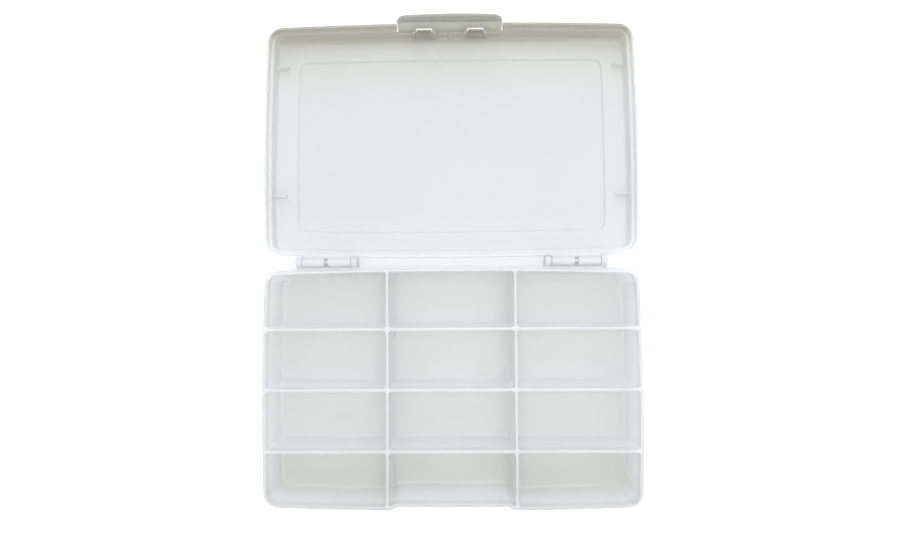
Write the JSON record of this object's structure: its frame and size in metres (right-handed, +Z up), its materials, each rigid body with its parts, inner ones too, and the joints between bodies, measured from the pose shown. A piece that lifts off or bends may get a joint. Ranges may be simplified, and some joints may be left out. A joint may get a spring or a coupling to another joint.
{
  "type": "embroidery thread box",
  "caption": "Shallow translucent plastic box with a grid of open compartments, a snap-hinged lid and a hook latch, shown with the lid opened flat.",
  "frame": {"origin": "on the surface that the corner feet stand on, under the middle of the box's extents with the lid opened flat", "axes": "+Z up out of the tray, +X along the hinge line, +Y from the tray's latch side across the hinges to the opened lid"},
  "size_m": [0.23, 0.3008, 0.0302],
  "materials": {
    "tray_polypropylene": "natural translucent polypropylene, fine satin",
    "lid_polypropylene": "natural translucent polypropylene, glossier inside the panel",
    "latch_polypropylene": "natural translucent polypropylene, satin"
  },
  "bodies": {
    "tray": {"tray": "tray_polypropylene"},
    "lid": {"lid": "lid_polypropylene"},
    "latch": {"latch": "latch_polypropylene"}
  },
  "joints": [
    {"name": "lid_hinge", "type": "hinge", "parent": "tray", "child": "lid", "pos_m": [0, -0.00148, 0.02715], "axis": [1, 0, 0], "range_deg": [0, 181.3]},
    {"name": "latch_hinge", "type": "hinge", "parent": "lid", "child": "latch", "pos_m": [0, 0.14488, 0.01498], "axis": [1, 0, 0], "range_deg": [-81, 9]}
  ]
}
